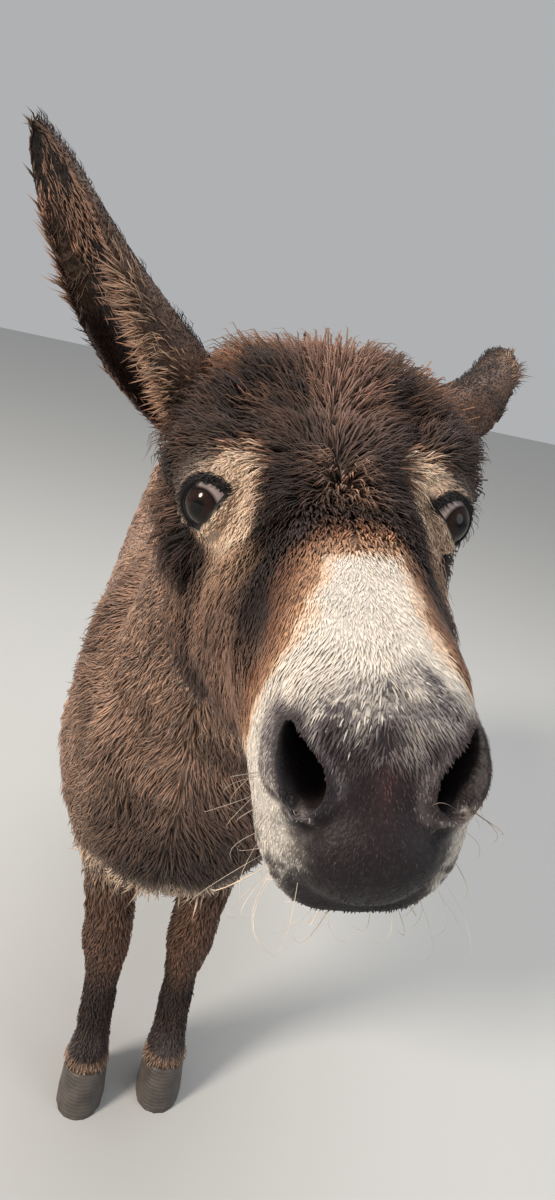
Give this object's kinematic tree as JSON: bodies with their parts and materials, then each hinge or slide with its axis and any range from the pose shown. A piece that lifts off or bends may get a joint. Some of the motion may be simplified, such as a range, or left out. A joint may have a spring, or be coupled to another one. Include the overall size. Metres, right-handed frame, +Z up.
{
  "type": "donkey",
  "caption": "Standing donkey in a shaggy dark brown winter coat, head stretched forward, one ear out and one turned back, white nose and dark muzzle",
  "frame": {"origin": "middle of the ground under the bounding box, on the plane of the hoof soles", "axes": "+Z up, the donkey faces -Y, and +X is its own left side"},
  "size_m": [0.4606, 1.6362, 1.2995],
  "materials": {
    "face_coat": "short to shaggy hair, white nose, dark bare muzzle skin",
    "body_coat": "long shaggy dark brown hair, paler under the belly",
    "leg_coat": "short dark brown hair, nearly black at the fetlocks",
    "ear_coat": "brown hair outside, dark inside with pale fringes",
    "mane_hair": "coarse blackish brown hair",
    "eye": "wet dark brown iris under a clear cornea",
    "hoof": "dull dark grey horn with fine growth rings"
  },
  "bodies": {
    "root": {"head": "face_coat", "neck": "body_coat", "trunk": "body_coat", "mane": "mane_hair", "tail": "mane_hair", "ear_right": "ear_coat", "ear_left": "ear_coat", "eye_right": "eye", "eye_left": "eye", "leg_front_right": "leg_coat", "leg_front_left": "leg_coat", "leg_hind_right": "leg_coat", "leg_hind_left": "leg_coat", "hoof_front_right": "hoof", "hoof_front_left": "hoof", "hoof_hind_right": "hoof", "hoof_hind_left": "hoof"}
  },
  "joints": []
}
